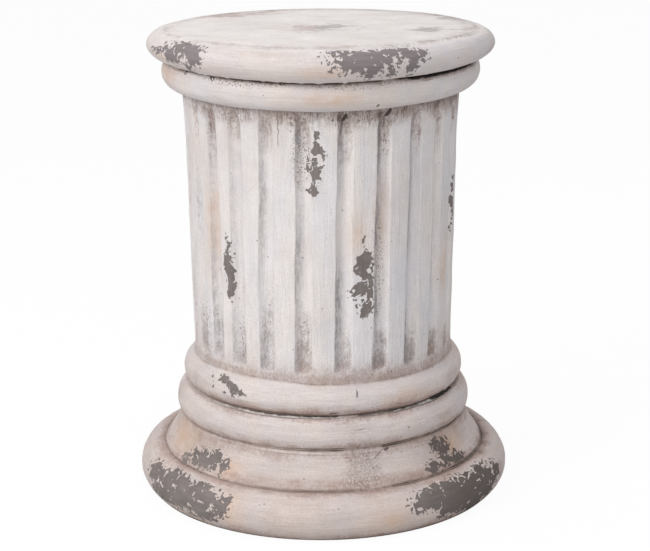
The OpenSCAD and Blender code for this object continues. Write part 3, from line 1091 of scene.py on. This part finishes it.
# %% Off-white coat
PAINT = (0.775, 0.742, 0.735, 1)
PAINT_ROUND = (0.695, 0.64, 0.622, 1)
PAINT_LOW = (0.628, 0.552, 0.52, 1)
PAINT_TOP = (0.80, 0.755, 0.73, 1)
WARM_TINT = (1.015, 0.995, 0.972, 1)
COOL_TINT = (0.985, 0.992, 1.015, 1)

colour = mix(tree, mask["upright"], PAINT_ROUND, PAINT)
colour = mix(tree, by_height(SHAFT_FOOT_Z + 34, SHAFT_FOOT_Z + 4), colour, PAINT_ROUND)
colour = mix(tree, by_height(SHAFT_FOOT_Z * 1.12, RING_TOP_Z), colour, PAINT_LOW)
on_top = by_height(COLUMN_H - 4, COLUMN_H - 0.9)
colour = mix(tree, on_top, colour, PAINT_TOP)
# the astragal gets some of the shaft's lighter paint: painted light, lifting it where the lamps leave it
# dark
astragal = times(tree, by_height(NECK_Z, NECK_Z + 4), by_height(SLAB_Z + 2, SLAB_Z - 1))
colour = mix(tree, times(tree, astragal, 0.45), colour, PAINT)
colour = mix(tree, remap(tree, cloud, 0.45, 0.7, 0.0, 0.30), colour, PAINT_LOW)

tint = grain(tree, scaled(tree, place, (42, 42, 10)), 1.0, 3, 0.6)
tint_amount = minus(tree, 1.0, times(tree, on_top, 0.7))
tint_colour = mix(tree, remap(tree, tint, 0.36, 0.64), WARM_TINT, COOL_TINT)
colour = mix(tree, tint_amount, colour, tint_colour, "MULTIPLY")
colour = scale_by(colour, signed_noise(tree, place, 45, 4, 0.7), 0.16)
colour = scale_by(colour, strokes["Broad"], 0.20)
colour = scale_by(colour, strokes["Fine"], 0.15)
colour = scale_by(colour, strokes["Hair"], by_height(420, 100, 0.22, 0.30))
colour = scale_by(colour, sand, by_height(420, 100, 0.60, 0.80))
print("the mouldings are", round(100 * (1 - PAINT_ROUND[0] / PAINT[0])), "% darker than the shaft")

# %% [markdown]
# ## Stains and smudges
# The three washes lie on the coat in the soft spots that the masks hold, each broken up by mottling so
# that no spot reads as a disc. The smudges on the top are dragged sideways, as if by a cloth.

# %% Stains and smudges over the coat
STAIN_COLOURS = (
    # mask, colour, and amount where the mottling is thin and where it is thick
    ("brown", (0.40, 0.30, 0.255, 1), 0.15, 0.6),
    ("warm", (0.66, 0.46, 0.33, 1), 0.3, 0.75),
    ("cool", (0.58, 0.57, 0.63, 1), 0.1, 0.45),
)
SMUDGE = (0.34, 0.32, 0.30, 1)
SMUDGE_LEFT = (0.43, 0.33, 0.30, 1)

# the brown and cool washes are partly painted shade at the right, along the slab's crease and at the base's
# foot
for name, stain, thin_amount, thick_amount in STAIN_COLOURS:
    stain_amount = times(tree, mask[name], remap(tree, mottle, 0.3, 0.7, thin_amount, thick_amount))
    colour = mix(tree, stain_amount, colour, stain)

dragged = signed_noise(tree, scaled(tree, place, (110, 260, 260)), 1.0, 4, 0.8)
smudge_noise = plus(tree, dragged, strokes["Hair"])
smudge_level = plus(tree, times(tree, smudge_noise, 2.6), mask["smudge"])
smudge_part = times(tree, remap(tree, smudge_level, 0.3, 1.05), remap(tree, mask["smudge"], 0.02, 0.3))
smudge_colour = mix(tree, remap(tree, mask["rightness"], 0.32, 0.42), SMUDGE_LEFT, SMUDGE)
colour = mix(tree, times(tree, smudge_part, 0.75), colour, smudge_colour)
print(len(STAIN_COLOURS), "washes and the smudges lie over the coat")

# %% [markdown]
# ## Painted shade and wash in the flutes and corners
# Grey painted shade, with some wash in it, darkens the left walls of the flutes, away from the key lamp,
# and is browner at the far right. Brown wash clings to the joints and to the flutes' ends. On the shaft it
# keeps the upright streaks of the brush, except at the very foot, where it was dabbed. It is redder low
# down on the base and greyer low in the flutes.

# %% Painted shade and wash in the flutes and corners
WALL_SHADE_GREY = (0.29, 0.28, 0.295, 1)
WALL_SHADE_BROWN = (0.27, 0.235, 0.22, 1)
WASH = (0.30, 0.218, 0.19, 1)
WASH_LOW = (0.385, 0.265, 0.226, 1)
WASH_GREY = (0.27, 0.25, 0.25, 1)
WASH_DARK = (0.07, 0.052, 0.045, 1)

# painted shade with some dirt on the flutes' left walls: grey, and browner at the far right
wall_shade_noise = signed_noise(tree, scaled(tree, place, (330, 330, 120)), 1.0, 4, 0.75)
wall_shade = times(tree, mask["left_wall_shade_and_dirt"], remap(tree, wall_shade_noise, -0.16, 0.18, 0.14, 0.66), clamp=True)
wall_shade_colour = mix(tree, remap(tree, mask["rightness"], 0.8, 0.95), WALL_SHADE_GREY, WALL_SHADE_BROWN)
colour = mix(tree, wall_shade, colour, wall_shade_colour)

drag = math_node(tree, "MULTIPLY_ADD", strokes["Hair"], mask["upright"], third=strokes["Fine"])
dabbed = times(tree, mask["upright"], by_height(175, 150))
drag = times(tree, drag, minus(tree, 1.0, dabbed))
washed = group(washing, {"Vector": place, "Amount": mask["dirt"], "Streak": drag})
wash_colour = mix(tree, by_height(170, 130), WASH, WASH_LOW)
low_flute = times(tree, remap(tree, cloud, 0.35, 0.6), by_height(340, 200, 0.0, 0.8))
wash_colour = mix(tree, times(tree, mask["flute"], low_flute), wash_colour, WASH_GREY)
colour = mix(tree, times(tree, washed["Cover"], 0.85), colour, wash_colour)
colour = mix(tree, times(tree, washed["Dark"], 0.8), colour, WASH_DARK)
print("wash is laid on with", len(tree.nodes), "nodes so far")

# %% [markdown]
# ## Grit and the mend
# Dark specks lie in the flutes and in the dirt, thickest where the grit mask is strong, with a finer
# peppering of noise between them. The mend is paler filler with small dark pits.

# %% Grit and the mend
FILLER = (0.74, 0.65, 0.635, 1)

speck_share = plus(tree, times(tree, mask["flute"], 0.16), 0.05)
speck_share = plus(tree, speck_share, times(tree, mask["dirt"], 0.35))
speck_share = plus(tree, speck_share, times(tree, mask["grit"], 0.7))
dots = group(specking, {"Vector": place, "Share": speck_share})["Dots"]
colour = mix(tree, times(tree, dots, 0.7), colour, WASH_DARK)
pepper = remap(tree, grain(tree, place, 700, 0, 0.5), 0.60, 0.67)
pepper = times(tree, pepper, remap(tree, mask["grit"], 0.1, 0.7, 0.0, 0.75))
colour = mix(tree, pepper, colour, mix(tree, 0.4, WASH, WASH_DARK))

mend_noise = signed_noise(tree, place, 520, 2, 0.7)
mend_filler = times(tree, mask["mend"], remap(tree, mend_noise, 0.02, 0.14, 0.0, 0.9))
colour = mix(tree, mend_filler, colour, FILLER)
mend_pits = times(tree, mask["mend"], remap(tree, mend_noise, 0.02, -0.16, 0.1, 0.55))
colour = mix(tree, mend_pits, colour, WASH)
print("grit and mend are on, with", len(tree.nodes), "nodes so far")

# %% [markdown]
# ## Lines, scratches and bubbles
# A dark line lies in each joint; at the neck it is painted shadow under the astragal. It is cut from the
# distances that the mesh stores, and noise makes it wander. Scratches, drips at the flutes' heads and round
# bubbles in the slab's groove are single marks, all made by the scratch group. Three bubbles hold a bead of
# white paint.

# %% Lines, scratches and bubbles
MARKS = (
    # angle in degrees, height, half length and half width in millimetres, tilt in degrees, strength
    (13.5, 130, 3.6, 0.6, 4, 0.8), (20, 406, 1.6, 1.3, 40, 0.8), (21, 70, 7, 0.5, 52, 0.7),
    (14, 97, 6, 0.4, 84, 0.4), (24.5, 74, 3, 1.6, 80, 0.85), (-17, 383, 17, 0.5, 1, 0.6),
    (4.5, 112, 5, 0.9, 86, 0.7), (34, 92, 1.4, 0.8, 60, 0.7), (-55, 428.8, 2, 2.4, 0, 0.9),
    (-40.4, 428, 2, 2.7, 0, 0.9), (-13.2, 427.4, 1.9, 2.7, 0, 0.9), (9.2, 393.8, 4.2, 2.1, 30, 1),
    (27.2, 396.3, 4.4, 2.2, 34, 1), (4.5, 391, 1, 1, 0, 0.8), (8.3, 386, 8, 1.1, 6, 0.5),
    (26, 388, 9, 1.1, 6, 0.5),
)
BEADS = ((-54.8, 428.5), (-40.2, 427.8), (-13, 427.2))
BEAD_HALF_LENGTH = 0.8
BEAD_HALF_WIDTH = 0.9


def mark_at(a, z, half_length, half_width, tilt=0):
    """The mask of one mark; angles are in degrees and sizes in millimetres."""
    inputs = {"Vector": place, "Angle": math.radians(a), "Height": z * MM, "Tilt": math.radians(tilt),
              "Half length": half_length * MM, "Width": half_width * MM}
    return group(scratching, inputs)["Mark"]


wobble = times(tree, signed_noise(tree, place, 160, 3, 0.6), 2.6)
nearest_joint = math_node(tree, "MINIMUM", mask["over"], mask["under"])
seam_width = remap(tree, mask["line"], 1.2, 2.6, 1.0, 2.8)
seam_gap = math_node(tree, "DIVIDE", plus(tree, nearest_joint, wobble), seam_width)
# the dark joint lines; the one at the neck is painted shadow under the astragal
seam_line = times(tree, remap(tree, seam_gap, 1.6, 0.3), mask["line"])
colour = mix(tree, times(tree, seam_line, 0.85, clamp=True), colour, WASH_DARK)

for a, z, half_length, half_width, tilt, darkness in MARKS:
    mark = mark_at(a, z, half_length, half_width, tilt)
    colour = mix(tree, times(tree, mark, darkness), colour, WASH_DARK)
for a, z in BEADS:
    colour = mix(tree, mark_at(a, z, BEAD_HALF_LENGTH, BEAD_HALF_WIDTH), colour, PAINT_TOP)
print(len(MARKS), "dark marks and", len(BEADS), "white beads")

# %% [markdown]
# ## The flakes
# Where paint is gone, the grey undercoat shows, with the streaks of its own brush. It is lighter high
# up, a cooler grey on the slab, and darkest low at the right. More islands of paint are left within
# the flakes at the middle of the shaft, to the right of the front, and fewer on the slab.

# %% Flakes
UNDERCOAT = (0.185, 0.158, 0.148, 1)
UNDERCOAT_LIGHT = (0.235, 0.206, 0.194, 1)
UNDERCOAT_CAP = (0.235, 0.202, 0.208, 1)
UNDERCOAT_DARK = (0.125, 0.102, 0.092, 1)

mid_shaft = times(tree, by_height(290, 270), by_height(170, 190))
mid_right = times(tree, mid_shaft, remap(tree, mask["rightness"], 0.5, 0.6))
solid = math_node(tree, "MULTIPLY_ADD", mid_right, -0.9, third=by_height(400, 420))
flakes = group(flaking, {"Vector": place, "Inside": mask["flaked"], "Solid": solid})

undercoat = mix(tree, remap(tree, mottle, 0.35, 0.7), UNDERCOAT, UNDERCOAT_LIGHT)
undercoat = mix(tree, by_height(300, 340, 0.0, 0.85), undercoat, UNDERCOAT_LIGHT)
undercoat = mix(tree, by_height(400, 420, 0.0, 0.8), undercoat, UNDERCOAT_CAP)
low_right = times(tree, remap(tree, mask["rightness"], 0.7, 0.92), by_height(140, 80))
undercoat = mix(tree, low_right, undercoat, UNDERCOAT_DARK)
undercoat = scale_by(undercoat, strokes["Fine"], 0.5)
undercoat = scale_by(undercoat, sand, 0.2)
colour = mix(tree, flakes["Bare"], colour, undercoat)
print("the undercoat keeps", round(100 * UNDERCOAT[0] / PAINT[0]), "% of the paint's brightness")

# %% [markdown]
# ## Grooves, lip highlights and groove shadows
# The open grooves are dark at the bottom and worn brown at their sides; on the right, away from the key
# lamp, their dark is deepened as painted shade. Just below the torus joint, and faintly below the collar's,
# a white painted highlight runs along the lip, with a thin painted shadow under it. Last of all, an almost
# black painted shadow goes into two stretches of joint at the right.

# %% Grooves, lip highlights and groove shadows
GROOVE_DARK = (0.065, 0.05, 0.044, 1)
GROOVE_WORN = (0.33, 0.255, 0.215, 1)
# painted highlight for the lip, and almost black painted shadow for the grooves at the right
LIP_HIGHLIGHT = (0.92, 0.88, 0.86, 1)
GROOVE_SHADOW = (0.022, 0.018, 0.017, 1)

groove_patches = grain(tree, place, 45, 0, 0.5)
worn = times(tree, remap(tree, mask["groove"], 0.02, 0.3), remap(tree, groove_patches, 0.35, 0.6, 0.5, 1.0))
colour = mix(tree, worn, colour, GROOVE_WORN)
deep = times(tree, remap(tree, mask["groove"], 0.3, 0.7), remap(tree, groove_patches, 0.3, 0.5, 0.6, 1.0))
# the grooves' dark fill is deepened on the right, away from the key lamp, as painted shade; above 200 mm it
# is full all round
groove_shade_side = remap(tree, mask["rightness"], 0.1, 0.5, 0.5, 1.0)
groove_shade_side = math_node(tree, "MAXIMUM", groove_shade_side, by_height(150, 200))
colour = mix(tree, times(tree, deep, groove_shade_side), colour, GROOVE_DARK)

# a white painted highlight along the lip below the torus joint, with a thin painted shadow under it
lip_gap = plus(tree, mask["under"], times(tree, wobble, 0.3))
lip_part = times(tree, mask["lip"], remap(tree, mottle, 0.40, 0.52, 0.25, 1.0))
lip_highlight_line = times(tree, remap(tree, lip_gap, 1.5, 1.8), remap(tree, lip_gap, 4.1, 3.7))
lip_shadow = times(tree, remap(tree, lip_gap, 3.9, 4.3), remap(tree, lip_gap, 6.0, 5.0))
colour = mix(tree, times(tree, times(tree, lip_highlight_line, lip_part), 0.95), colour, LIP_HIGHLIGHT)
colour = mix(tree, times(tree, times(tree, lip_shadow, lip_part), 0.5), colour, WASH_DARK)

# almost black painted shadow in the two stretches of joint at the right
groove_shadow_noise = times(tree, signed_noise(tree, place, 260, 3, 0.7), 1.1)
groove_shadow_level = plus(tree, mask["groove_shadow"], groove_shadow_noise)
groove_shadow_part = times(tree, remap(tree, groove_shadow_level, 0.42, 0.62), remap(tree, mask["groove_shadow"], 0.02, 0.2))
colour = mix(tree, times(tree, groove_shadow_part, 0.92), colour, GROOVE_SHADOW)
print("colour is finished after", len(tree.nodes), "nodes")

# %% [markdown]
# ## Roughness and relief
# The paint is a soft eggshell, and the bare undercoat duller. Streaks, sand, the edges of the flakes,
# the mend and the dirt are too fine to model, so a bump node tilts the light on them instead.

# %% Roughness, relief and the shader
RELIEF = (
    # value and how tall it stands, in millimetres
    (strokes["Hair"], 0.35),
    (strokes["Fine"], 0.5),
    (strokes["Broad"], 0.6),
    (sand, 0.30),
    (flakes["Bare"], -0.30),
    (flakes["Edge"], 0.12),
    (times(tree, mask["mend"], signed_noise(tree, place, 420, 3, 0.7)), 2.2),
    (times(tree, mask["dirt"], signed_noise(tree, place, 500, 3, 0.7)), 0.8),
)

rough = remap(tree, mottle, 0.3, 0.7, 0.52, 0.66)
rough = plus(tree, rough, times(tree, flakes["Bare"], 0.12))
relief = 0.0
for value, tall in RELIEF:
    relief = plus(tree, relief, times(tree, value, tall))
surface = node(tree, "ShaderNodeBump", {"Height": relief, "Strength": 1.0, "Distance": MM}).outputs[0]

shader_inputs = {"Base Color": colour, "Roughness": rough, "Normal": surface, "Specular IOR Level": 0.35}
shader = node(tree, "ShaderNodeBsdfPrincipled", shader_inputs).outputs[0]
node(tree, "ShaderNodeOutputMaterial", {"Surface": shader})
mesh.materials.append(paint)
print("paint has", len(tree.nodes), "nodes")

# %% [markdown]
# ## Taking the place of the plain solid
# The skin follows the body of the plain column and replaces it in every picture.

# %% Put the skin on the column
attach(column, "root")
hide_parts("column")
print(column.name, "takes the place of the plain column")

# %% [markdown]
# ## The floor
# The studio is only a pale floor, a plain world and three lamps. The floor takes a light shadow of the
# column. Rays from the camera see it almost white, and all other rays see a mid grey, so that it does
# not throw too much light up under the mouldings.

# %% Floor
FLOOR_HALF = 30
WHITE = (1, 1, 1, 1)
FLOOR_GREY = (0.60, 0.60, 0.60, 1)

floor_mesh = bpy.data.meshes.new("floor")
ground = bmesh.new()
bmesh.ops.create_grid(ground, x_segments=1, y_segments=1, size=FLOOR_HALF)
ground.to_mesh(floor_mesh)
ground.free()
floor = bpy.data.objects.new("floor", floor_mesh)
bpy.context.scene.collection.objects.link(floor)

floor_paint = bpy.data.materials.new("pale_floor")
floor_paint.use_nodes = True
floor_tree = floor_paint.node_tree
floor_tree.nodes.clear()
camera_ray = node(floor_tree, "ShaderNodeLightPath").outputs["Is Camera Ray"]
floor_colour = mix(floor_tree, camera_ray, FLOOR_GREY, WHITE)
lit = node(floor_tree, "ShaderNodeBsdfDiffuse", {"Color": floor_colour}).outputs[0]
white = node(floor_tree, "ShaderNodeEmission", {"Color": WHITE, "Strength": 1.0}).outputs[0]
seen = times(floor_tree, camera_ray, 0.945)
blend = node(floor_tree, "ShaderNodeMixShader", {0: seen, 1: lit, 2: white}).outputs[0]
node(floor_tree, "ShaderNodeOutputMaterial", {"Surface": blend})
floor_mesh.materials.append(floor_paint)
print("floor is", 2 * FLOOR_HALF, "m across")

# %% [markdown]
# ## The world
# An even, faintly cool sky fills the shadows. The camera and any glass see plain white instead, so the
# backdrop is clean without more light on the column.

# %% World
FILL_COLOUR = (0.965, 0.97, 1, 1)
FILL_STRENGTH = 0.60

world = bpy.data.worlds.new("studio")
bpy.context.scene.world = world
world.use_nodes = True
world_tree = world.node_tree
world_tree.nodes.clear()
paths = node(world_tree, "ShaderNodeLightPath").outputs
direct = math_node(world_tree, "MAXIMUM", paths["Is Camera Ray"], paths["Is Transmission Ray"])
sky_inputs = {"Color": FILL_COLOUR, "Strength": FILL_STRENGTH}
sky_fill = node(world_tree, "ShaderNodeBackground", sky_inputs).outputs[0]
backdrop = node(world_tree, "ShaderNodeBackground", {"Color": WHITE, "Strength": 1.0}).outputs[0]
sky = node(world_tree, "ShaderNodeMixShader", {0: direct, 1: sky_fill, 2: backdrop}).outputs[0]
node(world_tree, "ShaderNodeOutputWorld", {"Surface": sky})
print("sky fills the shadows at", FILL_STRENGTH)


# %% [markdown]
# ## The lamps
# A softbox high at the front left draws the flutes, a wide weak one in front opens the shadows, and one
# overhead lights the top. Area lamps are used because their size gives the soft edges of the shadows.

# %% Lamps
def softbox(name, where, size, power):
    """A square area lamp that faces the column's middle."""
    lamp = bpy.data.lights.new(name, "AREA")
    lamp.shape = "SQUARE"
    lamp.size = size
    lamp.energy = power
    lamp.color = (1, 0.985, 0.965)
    holder = bpy.data.objects.new(name, lamp)
    bpy.context.scene.collection.objects.link(holder)
    holder.location = where
    aim = Vector((0, 0, COLUMN_H * MM / 2)) - Vector(where)
    holder.rotation_euler = aim.to_track_quat("-Z", "Y").to_euler()


LAMPS = (
    # name, place in metres, width in metres and power in watts
    ("key_lamp", (-1.75, -1.5, 1.6), 0.8, 26),
    ("front_lamp", (0.3, -2.4, 0.9), 1.2, 9),
    ("top_lamp", (-0.3, -0.3, 2.4), 1.6, 13),
)
for lamp_row in LAMPS:
    softbox(*lamp_row)
print(len(LAMPS), "lamps give", sum(power for _, _, _, power in LAMPS), "watts")

# %% [markdown]
# ## The camera
# The view is from a little above, straight at the front, with a long lens, so the column keeps its
# true proportions. The distance, height and lens were solved from the curves of the mouldings. Places
# are shares of the column's height, so the framing holds if the column is resized.

# %% Camera
DISTANCE = 3.826 * COLUMN_H * MM
ELEVATION = math.radians(15.25)
ROLL = -0.0069
AIM_Z = 0.4554 * COLUMN_H * MM
SIDE = 0.0060 * COLUMN_H * MM
LENS_MM = 96.84
SENSOR_MM = 36

camera = bpy.data.objects.new("camera", bpy.data.cameras.new("camera"))
bpy.context.scene.collection.objects.link(camera)
camera.data.sensor_width = SENSOR_MM
camera.data.lens = LENS_MM
forward = Vector((0, math.cos(ELEVATION), -math.sin(ELEVATION)))
right = Vector((1, 0, 0))
up = right.cross(forward)
right_rolled = right * math.cos(ROLL) + up * math.sin(ROLL)
up_rolled = up * math.cos(ROLL) - right * math.sin(ROLL)
turned = Matrix((right_rolled, up_rolled, -forward)).transposed().to_4x4()
eye = Vector((SIDE, -DISTANCE * math.cos(ELEVATION), AIM_Z + DISTANCE * math.sin(ELEVATION)))
camera.matrix_world = Matrix.Translation(eye) @ turned
bpy.context.scene.camera = camera
bpy.context.scene.view_settings.view_transform = "Standard"
print("camera is", round(DISTANCE, 2), "m away with a", round(camera.data.lens, 1), "mm lens")
